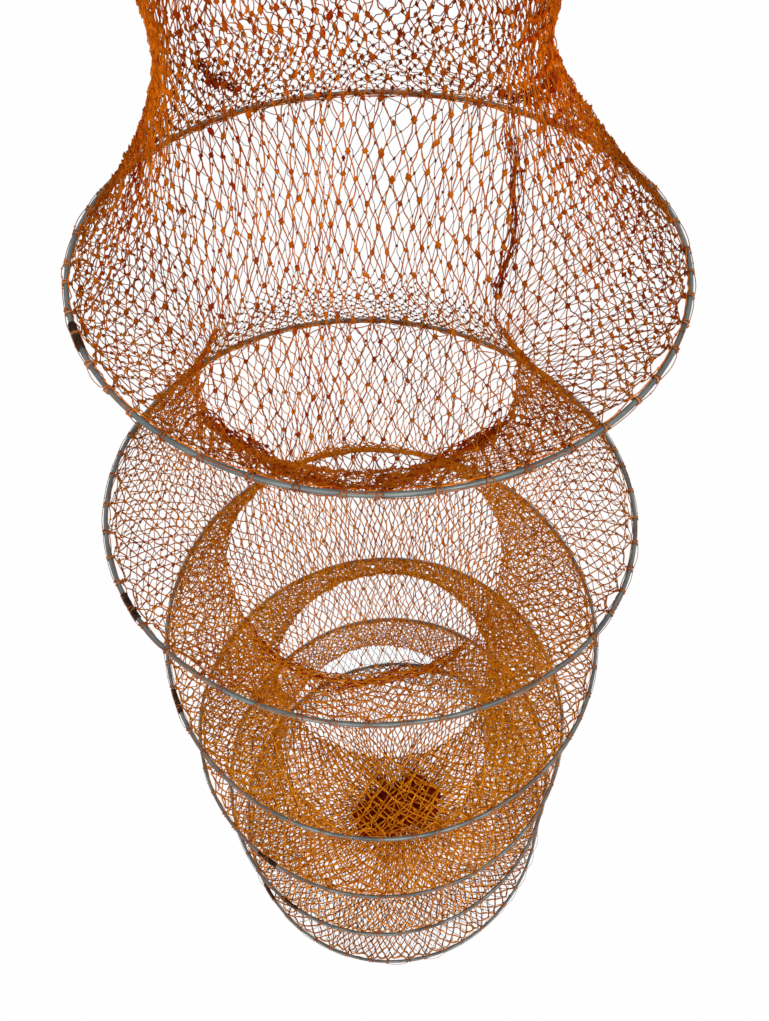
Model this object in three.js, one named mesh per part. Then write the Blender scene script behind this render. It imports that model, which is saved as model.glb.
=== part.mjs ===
// A hanging keepnet: a tube of knotted netting laced to seven wire hoops and gathered shut at the bottom.
// Millimetres, +Z up. The origin is the centre of the mouth hoop, and everything else hangs below it.
// The netting between two hoops is a thin wall that draws in to a neck, or waist, and flares out again: one leg
// of it lies above the neck and one below.

import * as THREE from "three";

// ---- Driving sizes ----

const WIRE_RADIUS = 1.65; // hoop wire
const WIRE_SIDES = 6;
const NET_WALL = 1.6; // netting with its knots, as one wall
const GAP = 0.3; // clearance between two pieces that touch
const SEGMENTS = 36; // steps around each hoop and around the netting
const SLEEVE_BORE_SIDES = 8;
const SLEEVE_WALL = 0.9; // the wrapped joint of a hoop
const SLEEVE_LENGTH = 26;
const SLEEVE_CLEAR_STEPS = 1.2; // steps either side of a joint where the netting stands back from it

// Each hoop: how far it hangs below the mouth, its radius, its sideways shifts, how much it leans (rise per
// millimetre along X and Y), how far it is bent out of round in three lobes and where the first lobe points,
// and the step around the hoop that holds its joint.
const HOOPS = [
  { name: "mouth", drop: 0, radius: 160, shiftX: 0, shiftY: 0, leanX: 0, leanY: 0, bend: 0.5, bendTurn: 80, joint: 20 },
  { name: "1", drop: 278.6, radius: 190.8, shiftX: 6.4, shiftY: 14.8, leanX: 0, leanY: 0.038, bend: 2.2, bendTurn: 30, joint: 20 },
  { name: "2", drop: 479.6, radius: 203.2, shiftX: 0.8, shiftY: -5.8, leanX: -0.037, leanY: -0.008, bend: 0.8, bendTurn: 100, joint: 21 },
  { name: "3", drop: 674.2, radius: 203, shiftX: 7.2, shiftY: -5.4, leanX: -0.02, leanY: 0.085, bend: 0.8, bendTurn: 10, joint: 20 },
  { name: "4", drop: 865, radius: 201.8, shiftX: 6.2, shiftY: -3.4, leanX: 0.038, leanY: 0.021, bend: 1.2, bendTurn: 60, joint: 23 },
  { name: "5", drop: 1026.6, radius: 199.2, shiftX: 12.4, shiftY: 1.4, leanX: 0.082, leanY: 0.095, bend: 0.6, bendTurn: 0, joint: 23 },
  { name: "6", drop: 1148.2, radius: 198, shiftX: 20, shiftY: -1.4, leanX: 0.098, leanY: 0.115, bend: 0.5, bendTurn: 45, joint: 21 },
];

// Each neck between a hoop and the next: its depth, its two radii, its shifts and lean, how the wall curves in
// to it from above and out of it below (1 is a straight cone), how much harder it curves out on the left than
// on the right, the shallow lengthwise pleats in it (count, depth, turn in degrees), and the steps that its
// wall takes in each leg.
const NECKS = [
  { drop: 148, radiusX: 97.6, radiusY: 100, shiftX: -6.6, shiftY: 0, leanY: -0.17, curveIn: 2, curveOut: 1.3, skew: 0.15, pleats: 5, pleatDepth: 2.4, pleatTurn: 12, steps: 3 },
  { drop: 366, radiusX: 110.6, radiusY: 104, shiftX: -7.6, shiftY: 9.2, leanY: 0, curveIn: 1.2, curveOut: 1.2, skew: 0, pleats: 4, pleatDepth: 1.6, pleatTurn: 40, steps: 2 },
  { drop: 568, radiusX: 118.4, radiusY: 126, shiftX: -6.6, shiftY: 0, leanY: 0, curveIn: 1.2, curveOut: 1.2, skew: 0, pleats: 5, pleatDepth: 1.6, pleatTurn: 25, steps: 2 },
  { drop: 766, radiusX: 109.4, radiusY: 108, shiftX: 10, shiftY: 2.4, leanY: 0, curveIn: 1.2, curveOut: 1.2, skew: 0, pleats: 3, pleatDepth: 1.8, pleatTurn: 70, steps: 2 },
  { drop: 946, radiusX: 120, radiusY: 120, shiftX: 10, shiftY: 0, leanY: 0.03, curveIn: 1.2, curveOut: 1.2, skew: 0, pleats: 4, pleatDepth: 1.8, pleatTurn: 5, steps: 2 },
  { drop: 1088, radiusX: 144, radiusY: 144, shiftX: 16, shiftY: 0, leanY: 0.08, curveIn: 1.2, curveOut: 1.2, skew: 0, pleats: 5, pleatDepth: 1.6, pleatTurn: 50, steps: 2 },
];

// The bottom netting: it sags below the last hoop and draws in to a puckered mound, which is tied round below
// and left with a short tuft under the tie.
const BOTTOM = { drop: 1170, shiftX: 28, shiftY: -6, sag: 22, steps: 4 };
const BUNCH = { topRadius: 46, neckRadius: 8, tuftRadius: 17, topHeight: 17, tuftLength: 34, sides: 16 };
const TIE = { width: 7, wall: 1.8, sides: 16 };

// ---- Finishes ----

const wire = new THREE.MeshStandardMaterial({ color: 0x7f8a8a, roughness: 0.38, metalness: 0.85 });
const wrap = new THREE.MeshStandardMaterial({ color: 0x2c2622, roughness: 0.7, metalness: 0.1 });
const netting = new THREE.MeshStandardMaterial({ color: 0xb8510f, roughness: 0.75, metalness: 0 });
const bunched = new THREE.MeshStandardMaterial({ color: 0x6e1f0a, roughness: 0.85, metalness: 0 });
const cord = new THREE.MeshStandardMaterial({ color: 0x9a4a18, roughness: 0.8, metalness: 0 });

// ---- Curves of the hoops and the netting ----

const angleOf = (step) => (2 * Math.PI * step) / SEGMENTS;
const radians = THREE.MathUtils.degToRad;

// A point on a hoop's centre line.
function hoopPoint(hoop, angle) {
  const radius = hoop.radius + hoop.bend * Math.cos(3 * (angle - radians(hoop.bendTurn)));
  const x = radius * Math.cos(angle);
  const y = radius * Math.sin(angle);
  return new THREE.Vector3(hoop.shiftX + x, hoop.shiftY + y, -hoop.drop + hoop.leanX * x + hoop.leanY * y);
}

// A point on the narrowest ring of a neck.
function neckPoint(neck, angle) {
  const ripple = neck.pleatDepth * Math.cos(neck.pleats * (angle - radians(neck.pleatTurn)));
  const x = (neck.radiusX + ripple) * Math.cos(angle);
  const y = (neck.radiusY + ripple) * Math.sin(angle);
  return new THREE.Vector3(neck.shiftX + x, neck.shiftY + y, -neck.drop + neck.leanY * y);
}

// A point on the leg of netting between a neck and a hoop: reach is 0 at the neck and 1 at the hoop.
function legPoint(neck, hoop, curve, angle, reach) {
  const from = neckPoint(neck, angle);
  const to = hoopPoint(hoop, angle);
  const out = reach ** curve;
  return new THREE.Vector3(
    from.x + (to.x - from.x) * out,
    from.y + (to.y - from.y) * out,
    from.z + (to.z - from.z) * reach,
  );
}

// A point on the bottom netting: reach is 0 at the bunch and 1 at the last hoop.
function bottomPoint(angle, reach) {
  const hoop = HOOPS.at(-1);
  const to = hoopPoint(hoop, angle);
  const inner = BUNCH.topRadius + 2 * GAP;
  const from = new THREE.Vector3(
    BOTTOM.shiftX + inner * Math.cos(angle),
    BOTTOM.shiftY + inner * Math.sin(angle),
    -BOTTOM.drop,
  );
  const point = from.lerp(to, reach);
  point.z -= BOTTOM.sag * Math.sin(Math.PI * reach);
  return point;
}

// How far the netting stops from a hoop's centre line, more where it passes the joint.
function standOff(hoop, step) {
  const away = Math.abs(((step - hoop.joint - 0.5 + 1.5 * SEGMENTS) % SEGMENTS) - SEGMENTS / 2);
  const sleeve = away < SLEEVE_CLEAR_STEPS ? SLEEVE_WALL + 2 * GAP : 0;
  return WIRE_RADIUS + GAP + sleeve;
}

// ---- Solids ----

// A closed surface over a grid of points that closes on itself both ways: rows go round the object, and the
// points of each row go round the section.
function closedGrid(rows) {
  const count = rows[0].length;
  const positions = rows.flat().flatMap((p) => [p.x, p.y, p.z]);
  const index = [];
  rows.forEach((_, i) => {
    const next = (i + 1) % rows.length;
    for (let j = 0; j < count; j++) {
      const k = (j + 1) % count;
      const a = i * count + j;
      const b = next * count + j;
      const c = next * count + k;
      const d = i * count + k;
      index.push(a, b, c, a, c, d);
    }
  });
  const geometry = new THREE.BufferGeometry();
  geometry.setAttribute("position", new THREE.Float32BufferAttribute(positions, 3));
  geometry.setIndex(index);
  geometry.computeVertexNormals();
  return geometry;
}

// A wire hoop: a ring of straight steps with a six-sided section.
function hoopGeometry(hoop) {
  const centre = new THREE.Vector3(hoop.shiftX, hoop.shiftY, -hoop.drop);
  const normal = new THREE.Vector3(-hoop.leanX, -hoop.leanY, 1).normalize();
  const rows = [];
  for (let step = 0; step < SEGMENTS; step++) {
    const point = hoopPoint(hoop, angleOf(step));
    const outward = point.clone().sub(centre).projectOnPlane(normal).normalize();
    const row = [];
    for (let side = 0; side < WIRE_SIDES; side++) {
      const turn = (2 * Math.PI * side) / WIRE_SIDES;
      row.push(
        point
          .clone()
          .addScaledVector(outward, WIRE_RADIUS * Math.cos(turn))
          .addScaledVector(normal, WIRE_RADIUS * Math.sin(turn)),
      );
    }
    rows.push(row);
  }
  return closedGrid(rows);
}

// The wall of netting along one meridian line: the line is given a thickness, square to its own run. Where it
// meets the other leg at a neck, the thickness is level instead, so that the two end face to face.
function wallSection(line, neckIndex) {
  const axis = new THREE.Vector3(line.at(0).x, line.at(0).y, 0).normalize();
  const round = new THREE.Vector3(-axis.y, axis.x, 0);
  const inner = [];
  const outer = [];
  line.forEach((point, i) => {
    const before = line[Math.max(i - 1, 0)];
    const after = line[Math.min(i + 1, line.length - 1)];
    const run = i === neckIndex ? new THREE.Vector3(0, 0, -1) : after.clone().sub(before).normalize();
    const across = new THREE.Vector3().crossVectors(run, round).normalize();
    inner.push(point.clone().addScaledVector(across, -NET_WALL / 2));
    outer.push(point.clone().addScaledVector(across, NET_WALL / 2));
  });
  return [...inner, ...outer.reverse()];
}

// The reach at which a leg stops short of its hoop by a given distance.
function stopReach(pointAt, distance) {
  const end = pointAt(1);
  let low = 0.5;
  let high = 1;
  for (let i = 0; i < 40; i++) {
    const middle = (low + high) / 2;
    if (pointAt(middle).distanceTo(end) > distance) low = middle;
    else high = middle;
  }
  return low;
}

// One leg of the netting between a neck and a hoop. Its side is 1 for the leg above the neck and -1 for the one
// below it, and the line always runs downwards.
function legGeometry(neck, hoop, curve, side) {
  const rows = [];
  for (let step = 0; step < SEGMENTS; step++) {
    const bend = curve - (side < 0 ? neck.skew * Math.cos(angleOf(step)) : 0);
    const at = (reach) => legPoint(neck, hoop, bend, angleOf(step), reach);
    const reach = stopReach(at, standOff(hoop, step));
    const line = [];
    for (let i = 0; i <= neck.steps; i++) line.push(at((reach * i) / neck.steps));
    line[0].z += (side * GAP) / 2;
    if (side > 0) line.reverse();
    rows.push(wallSection(line, side > 0 ? neck.steps : 0));
  }
  return closedGrid(rows);
}

// The bottom netting, from the last hoop in to the bunch.
function bottomGeometry() {
  const hoop = HOOPS.at(-1);
  const rows = [];
  for (let step = 0; step < SEGMENTS; step++) {
    const at = (reach) => bottomPoint(angleOf(step), reach);
    const reach = stopReach(at, standOff(hoop, step));
    const line = [];
    for (let i = BOTTOM.steps; i >= 0; i--) line.push(at((reach * i) / BOTTOM.steps));
    rows.push(wallSection(line));
  }
  return closedGrid(rows);
}

// The wrapped joint: a straight tube around one step of the hoop.
function sleeveMesh(hoop) {
  const bore = (WIRE_RADIUS + GAP) / Math.cos(Math.PI / SLEEVE_BORE_SIDES);
  const outside = bore + SLEEVE_WALL;
  const half = SLEEVE_LENGTH / 2;
  const profile = [
    new THREE.Vector2(bore, -half),
    new THREE.Vector2(outside, -half),
    new THREE.Vector2(outside, half),
    new THREE.Vector2(bore, half),
    new THREE.Vector2(bore, -half),
  ];
  const mesh = new THREE.Mesh(new THREE.LatheGeometry(profile, SLEEVE_BORE_SIDES), wrap);
  const start = hoopPoint(hoop, angleOf(hoop.joint));
  const end = hoopPoint(hoop, angleOf(hoop.joint + 1));
  mesh.position.copy(start).lerp(end, 0.5);
  mesh.quaternion.setFromUnitVectors(new THREE.Vector3(0, 1, 0), end.sub(start).normalize());
  return mesh;
}

// A solid turned about the bunch's own upright axis, from a profile of radius and height.
function turned(profile, sides, material) {
  const points = profile.map(([radius, height]) => new THREE.Vector2(radius, height));
  const mesh = new THREE.Mesh(new THREE.LatheGeometry(points, sides), material);
  mesh.rotation.x = Math.PI / 2;
  mesh.position.set(BOTTOM.shiftX, BOTTOM.shiftY, -BOTTOM.drop);
  return mesh;
}

function bunchMesh() {
  const { topRadius, neckRadius, tuftRadius, topHeight, tuftLength, sides } = BUNCH;
  const neckLow = -TIE.width - 2 * GAP;
  const profile = [
    [0, topHeight],
    [topRadius * 0.55, topHeight * 0.85],
    [topRadius, NET_WALL],
    [topRadius, -NET_WALL],
    [neckRadius, -NET_WALL * 2],
    [neckRadius, -NET_WALL * 2 + neckLow],
    [tuftRadius * 0.8, -NET_WALL * 2 + neckLow - tuftLength * 0.35],
    [tuftRadius, -tuftLength + neckLow],
    [0, -tuftLength + neckLow + NET_WALL],
  ];
  return turned(profile.reverse(), sides, bunched);
}

function tieMesh() {
  const bore = BUNCH.neckRadius + GAP / Math.cos(Math.PI / TIE.sides);
  const top = -NET_WALL * 2 - GAP;
  const profile = [
    [bore, top],
    [bore, top - TIE.width],
    [bore + TIE.wall, top - TIE.width],
    [bore + TIE.wall, top],
    [bore, top],
  ];
  return turned(profile, TIE.sides, cord);
}

// ---- The keepnet ----

function named(mesh, name) {
  mesh.name = name;
  return mesh;
}

const keepnet = new THREE.Group();

const hoops = new THREE.Group();
HOOPS.forEach((hoop) => {
  hoops.add(named(new THREE.Mesh(hoopGeometry(hoop), wire), "hoop_" + hoop.name));
  hoops.add(named(sleeveMesh(hoop), "sleeve_" + hoop.name));
});

const nets = new THREE.Group();
NECKS.forEach((neck, i) => {
  const above = legGeometry(neck, HOOPS[i], neck.curveIn, 1);
  const below = legGeometry(neck, HOOPS[i + 1], neck.curveOut, -1);
  nets.add(named(new THREE.Mesh(above, netting), `net_${i}_upper`));
  nets.add(named(new THREE.Mesh(below, netting), `net_${i}_lower`));
});

const bottom = new THREE.Group();
bottom.add(named(new THREE.Mesh(bottomGeometry(), netting), "net_bottom"));
bottom.add(named(bunchMesh(), "bottom_gather"));
bottom.add(named(tieMesh(), "bottom_tie"));

keepnet.add(hoops, nets, bottom);

export default keepnet;
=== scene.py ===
"""A hanging keepnet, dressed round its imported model: knotted netting, wire hoops, lashings, gathered bottom.

Metres, +Z up, in the model's own frame: the mouth hoop's centre is the origin and the rest hangs below it.
The shapes of the hoops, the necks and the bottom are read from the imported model. Blender 4.5.
"""

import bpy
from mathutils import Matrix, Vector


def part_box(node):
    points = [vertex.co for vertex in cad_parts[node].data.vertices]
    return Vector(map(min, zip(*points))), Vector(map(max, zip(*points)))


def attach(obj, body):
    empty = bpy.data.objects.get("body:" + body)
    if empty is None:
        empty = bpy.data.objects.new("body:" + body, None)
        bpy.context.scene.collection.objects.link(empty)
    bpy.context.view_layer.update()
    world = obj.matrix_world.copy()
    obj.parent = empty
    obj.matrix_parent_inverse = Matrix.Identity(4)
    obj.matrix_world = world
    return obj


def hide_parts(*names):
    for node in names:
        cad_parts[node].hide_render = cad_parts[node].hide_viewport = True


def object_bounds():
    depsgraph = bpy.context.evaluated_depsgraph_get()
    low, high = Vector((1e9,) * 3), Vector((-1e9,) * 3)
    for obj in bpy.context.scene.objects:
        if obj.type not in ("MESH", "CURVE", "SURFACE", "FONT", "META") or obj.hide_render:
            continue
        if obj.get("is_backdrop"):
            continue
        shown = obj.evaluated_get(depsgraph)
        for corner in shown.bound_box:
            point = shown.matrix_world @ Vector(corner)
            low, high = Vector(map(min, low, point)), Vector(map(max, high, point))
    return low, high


bl_info = {
    "name": "Keepnet",
    "version": (1, 0, 0),
    "blender": (4, 5, 0),
    "location": "View3D > Sidebar > Keepnet",
    "description": "Dresses a hanging keepnet: netting, hoops, lashings and the gathered bottom",
    "category": "Object",
}

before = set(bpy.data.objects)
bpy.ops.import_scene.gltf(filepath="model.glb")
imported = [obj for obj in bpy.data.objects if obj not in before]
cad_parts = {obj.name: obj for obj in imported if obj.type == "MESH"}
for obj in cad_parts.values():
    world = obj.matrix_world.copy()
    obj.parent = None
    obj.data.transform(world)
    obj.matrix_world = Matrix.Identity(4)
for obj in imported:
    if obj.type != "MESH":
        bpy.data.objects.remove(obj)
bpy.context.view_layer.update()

import math

import bpy
import numpy as np
from bpy.props import FloatProperty, FloatVectorProperty, IntProperty, PointerProperty
from mathutils import Vector

# ---- What the object is made of ----

HOOP_NAMES = ("mouth", "1", "2", "3", "4", "5", "6")
SECTIONS = len(HOOP_NAMES) - 1  # lengths of netting between two hoops
RING_STEPS = 36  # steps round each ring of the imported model
RING_TERMS = 9  # waves that a smooth ring is made of
SEED = 7  # every random choice starts from it

# How the wall of netting curves in to each neck from above and out of it below (1 is a straight cone), and
# how much harder it curves out on the left than on the right.
LEG_CURVES = ((2.0, 1.3, 0.15),) + ((1.2, 1.2, 0.0),) * (SECTIONS - 1)
BOTTOM_SAG = 0.022  # how far the bottom netting sags between the last hoop and the bunch

# Each length of netting, and the bottom last: the steps in a bar above and below the neck; the bar, the twine
# and the knots as shares of the settings; how much longer than its bar the twine is; how uneven the netting
# lies; how much painted shade darkens its twine where it lies open; and the share of its flat size that is
# twine, which was picked to suit the twine that is modelled.
KNOTTING = tuple(
    dict(zip(("above", "below", "bar", "twine", "knot", "slack", "uneven", "shade", "cover"), row))
    for row in (
        (2, 4, 1.00, 0.98, 1.28, 0.07, 0.9, 0.52, 0.33),
        (3, 3, 1.00, 0.96, 1.02, 0.08, 1.0, 0.45, 0.31),
        (2, 2, 0.96, 1.60, 1.05, 0.12, 1.2, 0.15, 0.48),
        (2, 2, 0.93, 2.30, 1.20, 0.14, 1.2, 0.22, 0.65),
        (2, 2, 0.93, 2.35, 1.20, 0.14, 1.0, 0.05, 0.65),
        (2, 2, 1.00, 1.15, 0.85, 0.03, 0.5, 0.00, 0.35),
        (2, 2, 0.95, 3.10, 1.30, 0.12, 1.0, 0.00, 1.00),
    )
)
# Between these widths the painted shade of the twine goes from none to full.
OPEN_MESH = (0.0035, 0.0085)  # width of a mesh that is closed up, and of one that lies open
KNOT_EXIT = 0.33  # how far beside the middle of its knot a bar starts, against the knot's width
BAR_EASE = 0.36  # how far along a bar it turns from the way it leaves its knot
MOST_BOW = 0.28  # the most that a slack bar bows, against its length
LEAST_SPARE = 0.02  # the least spare twine in a bar, against its length
DROOP = 0.35  # how much the bow of a slack bar leans downwards
KNOT_SIZES = (0.75, 1.15)  # smallest and largest knot, against the size set for its length
LARGE_KNOTS = (0.06, 1.25)  # share of knots that are larger again, and how many times larger
SWAY_WAVES = (2, 3, 5, 9)  # waves once round in which the rows wander up and down
SWAY_SIZE = 3  # brings those waves together to about 1, so that the waviness is in rows

# How the meshes crowd together round each neck, as waves (count round, strength, turn in degrees). The
# netting is drawn to the left and right there, so it lies open in front and behind. The bottom has no neck.
NECK_CROWDING = (
    ((2, 0.62, 0), (4, 0.12, 0), (1, 0.12, -90)),
    ((2, 0.30, 10), (4, 0.10, 0)),
    ((2, 0.22, -15), (3, 0.10, 40)),
    ((2, 0.20, 20), (3, 0.10, -20)),
    ((2, 0.15, 0), (3, 0.10, 70)),
    ((2, 0.10, 30), (5, 0.08, 0)),
    (),
)
CROWDING_FADE = 3.4  # how soon that crowding dies out away from a neck
OPEN_FRONT = (0, 0, 0.36, 0.32, 0.20, 0, 0)  # how much wider than at the sides the meshes lie in front
STREAK_COUNTS = (5, 8, 13, 19)  # waves once round of the narrow pleats that run down the netting

# Each hoop: how much of the way to its tie a knot beside it is drawn, how far the netting pulls off it
# between ties, and how far the loops of lacing stand outside it.
LASHING = tuple(
    dict(zip(("pull", "scallop", "loops"), row))
    for row in (
        (0.70, 0.0060, 0.0012),
        (0.70, 0.0060, 0.0016),
        (0.65, 0.0050, 0.0012),
        (0.40, 0.0030, 0.0010),
        (0.35, 0.0025, 0.0010),
        (0.30, 0.0020, 0.0012),
        (0.25, 0.0020, 0.0034),
    )
)
PULL_FADE = 1.2  # rows off a hoop over which the pull of its ties dies out
SCALLOP_BESIDE = 0.8  # how far the rows beside a hoop pull inwards, against the row on it
TIE_UNEVEN = 0.18  # how far a tie sits off its even place, in ties
TIE_STEPS = 6  # steps in each turn of a tie
TIE_LIFT = (0.45, 0.6)  # how far the two turns of a tie lie off the wire, in thicknesses of its twine
TIE_SPREAD = (0.0008, 0.0024)  # least and most that a turn of a tie stands off along the wire
TIE_LEAN = 0.0004  # how far a tie may lean along the wire
LASHING_KNOT = 0.0026
KNOT_SHIFT = 0.0008  # how far the knot of a tie sits off its place
CORDS_INSIDE = 4  # cords that the ties hold against the inside of each hoop
CORD_STEPS = 4  # steps of those cords from tie to tie
CORD_SLACK = 0.0015  # the most that those cords hang off the wire
LOOP_STEPS = 5  # steps of the lacing from tie to tie

# The bound joint of each hoop: the thickness of its twine, its length along the hoop, the share of that
# thickness that each turn takes up, and the steps in a turn.
WRAP_TWINE = 0.0011
WRAP_LENGTH = 0.024
WRAP_PITCH = 0.92
WRAP_STEPS = 7

# Creases, a laced seam and slack rolls in the netting: the length of netting, where each starts and ends as
# an angle in degrees and a reach, how far its middle bows towards the lower hoop, how many strands lie in it,
# how wide it is, and the width of its knots.
CREASES = tuple(
    dict(zip(("section", "angle", "reach", "to_angle", "to_reach", "bow", "strands", "width", "knot"), row))
    for row in (
        (1, -150, -0.07, -94, 0.05, 0.02, 22, 0.012, 0.0034),
        (1, -104, 0.06, -74, 0.05, 0.02, 8, 0.006, 0.0032),
        (1, -84, 0.05, -36, -0.15, 0.06, 22, 0.012, 0.0034),
        (2, -148, 0.02, -44, 0.02, 0.03, 14, 0.016, 0.0032),
        (1, 60, -0.98, 32, -0.12, 0.00, 12, 0.010, 0.0034),
        (0, 16, 0.12, 62, 0.90, 0.00, 11, 0.008, 0.0034),
        (0, 148, 0.20, 126, 0.66, 0.00, 8, 0.006, 0.0032),
    )
)
CREASE_TWINE = 1.2  # the twine of a crease against the netting's
CREASE_STEP = 4  # degrees round in each step of a crease
CREASE_THICKNESS = 0.4  # the thickness of a crease against its width
CREASE_KNOTTED = 0.45  # share of the points in a crease that have a knot
STRAND_ROUGHNESS = 0.0006  # how far each point of a loose strand lies off its line
STRAND_WAVES = (1, 2, 4)  # half waves in which a strand wanders to its side over the steps named next
STRAND_WAVE_STEPS = 14  # steps of a crease for those half waves
STRAND_SPREAD = 0.6  # size of those waves against half the crease's width

# The puckered mound over the bunch: how much longer it is one way, which way, its swirl, the height of its
# folds, how far they widen it, and the folds themselves (count round, share, turn).
MOUND = {
    "stretch": 0.36,
    "turn": math.radians(25),
    "swirl": 0.7,
    "fold": 0.011,
    "widen": 0.10,
    "folds": ((11, 0.8, 0.3), (18, 0.6, 1.1), (31, 0.35, 2.0)),
}
FOLD_LEVEL = 0.6  # taken off each fold, so that about as much of it goes down as stands up
MOUND_TUCK = 0.72  # how far in the bottom netting goes under the mound, against the mound's radius
MOUND_MESHES = (56, 11)  # knots round the crumpled netting on the mound, and rows of them
MOUND_LIFT = (0.0008, 0.0012)  # how far that netting lies off the mound, and how unevenly
MOUND_CRUMPLE = 0.0011  # how far the middle of each of its bars is pushed aside
CORE_SIDES = 72
CORE_RINGS = 16  # rings of the core's mound, and again of the bunch below it
CORE_FOLDS = (5, 7, 9, 13)  # folds round the bunch
CORE_FOLD = 0.06  # depth of each of them against the bunch's radius
CORE_INSIDE = 0.88  # radius of the core against the bunch's
ROUND_BUNCH = 0.04  # radius from which the bunch is as stretched as the mound, and below it less
BUNCH_STRANDS = 36  # strands that run in through the tie
FOLD_STRANDS = 170  # strands in the puckered folds round the bunch
FOLD_LIFT = (0.0006, 0.0035)  # least and most that such a strand stands off the mound
FOLD_GROUND = 0.001  # how far it then lies above the bottom netting

# The cord that ties the bunch: its thickness, the share of it that each turn takes up, the steps in a turn
# and the sides of the cord.
TIE_CORD = 0.0018
TIE_PITCH = 1.02
TIE_TURN_STEPS = 24
TIE_CORD_SIDES = 8

# The stage: the strength of the sky's light, how white the floor looks, which leaves room for its shadow, and
# the lamps.
SKY_STRENGTH = 0.38
FLOOR_WHITE = 0.985
KEY_LAMP = {"place": (1.6, -2.25, 2.6), "size": 1.6, "power": 108}
FILL_LAMP = {"place": (-0.5, -1.6, -0.1), "size": 1.5, "power": 18}
FILL_TARGET = (0, 0, -0.9)


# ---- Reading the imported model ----


def node_points(name):
    """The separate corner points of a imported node, as rows of x, y, z."""
    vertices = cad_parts[name].data.vertices
    points = np.zeros(len(vertices) * 3)
    vertices.foreach_get("co", points)
    return np.unique(points.reshape(-1, 3).round(6), axis=0)


def box_middle(node):
    """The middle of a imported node's box."""
    low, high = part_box(node)
    return np.array((low + high) / 2)


def angle_round(points):
    """The angle of each point about the middle of them all."""
    away = points - points.mean(axis=0)
    return np.arctan2(away[:, 1], away[:, 0])


def ring_samples(points):
    """One point for each step round a ring: the middle of the points that lie at that step's angle."""
    step = np.rint(angle_round(points) * RING_STEPS / math.tau).astype(int) % RING_STEPS
    return np.array([points[step == i].mean(axis=0) for i in range(RING_STEPS)])


def smooth_ring(samples):
    """A smooth closed curve through evenly spaced points, as a function of the angle."""
    terms = np.fft.rfft(samples, axis=0)[:RING_TERMS] / len(samples)
    terms[1:] *= 2
    order = np.arange(RING_TERMS)

    def at(angle):
        return (np.exp(1j * np.multiply.outer(angle, order)) @ terms).real

    return at


def facing_points(name, other, within=0.0006):
    """The points of a node that lie just off the other node, where the two end face to face."""
    mine, theirs = node_points(name), node_points(other)
    apart = np.linalg.norm(mine[:, None] - theirs[None], axis=2).min(axis=1)
    return mine[apart < within]


def hoop_ring(name):
    """The centre line of a packed hoop."""
    return smooth_ring(ring_samples(node_points("hoop_" + name)))


def neck_ring(section):
    """The narrowest ring of one length of netting, where its upper and lower legs meet."""
    upper, lower = f"net_{section}_upper", f"net_{section}_lower"
    points = np.vstack([facing_points(upper, lower), facing_points(lower, upper)])
    return smooth_ring(ring_samples(points))


def even_angles(count):
    """Angles evenly spaced once round."""
    return np.linspace(0, math.tau, count + 1)[:-1]


def points_around(centre, angle, radius, height):
    """Points at a radius and a height about an upright line through a centre."""
    across = centre[0] + radius * np.cos(angle)
    away = centre[1] + radius * np.sin(angle)
    return np.stack([across, away, height + 0 * angle], axis=-1)


def bottom_ring(rim_width=0.0015):
    """The ring where the bottom netting goes in under the mound."""
    points = node_points("net_bottom")
    centre = box_middle("bottom_gather")
    away = np.linalg.norm(points[:, :2] - centre[:2], axis=1)
    near = away < away.min() + rim_width
    radius = away[near].mean() * MOUND_TUCK
    angle = np.arange(RING_STEPS) * math.tau / RING_STEPS
    return smooth_ring(points_around(centre, angle, radius, points[near, 2].mean()))


def bunch_outline(same_height=0.0002):
    """The bunch's centre, its outline, and the way along that outline to its rim. The outline is a function
    of the way from 0 at the top to 1 at the end of the tuft, and gives radius and height."""
    points = node_points("bottom_gather")
    centre = box_middle("bottom_gather")
    away = np.linalg.norm(points[:, :2] - centre[:2], axis=1)
    heights = np.unique(points[:, 2].round(4))[::-1]
    outline = np.array([(away[np.abs(points[:, 2] - z) < same_height].max(), z) for z in heights])
    length = np.concatenate([[0], np.cumsum(np.linalg.norm(np.diff(outline, axis=0), axis=1))])
    rim = length[outline[:, 0].argmax()] / length[-1]

    def at(way):
        along = np.asarray(way) * length[-1]
        return np.interp(along, length, outline[:, 0]), np.interp(along, length, outline[:, 1])

    return centre, at, rim


def wire_radius_of(name):
    """Half the thickness of a packed hoop's wire."""
    points = node_points("hoop_" + name)
    return float(np.linalg.norm(points - hoop_ring(name)(angle_round(points)), axis=1).max())


HOOPS = [hoop_ring(name) for name in HOOP_NAMES]
HOOP_MIDDLES = [ring(even_angles(RING_STEPS)).mean(axis=0) for ring in HOOPS]
NECKS = [neck_ring(section) for section in range(SECTIONS)]
BUNCH_RING = bottom_ring()
BUNCH_CENTRE, BUNCH_OUTLINE, BUNCH_RIM = bunch_outline()


# ---- Sizes and colours that a user would change ----


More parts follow.
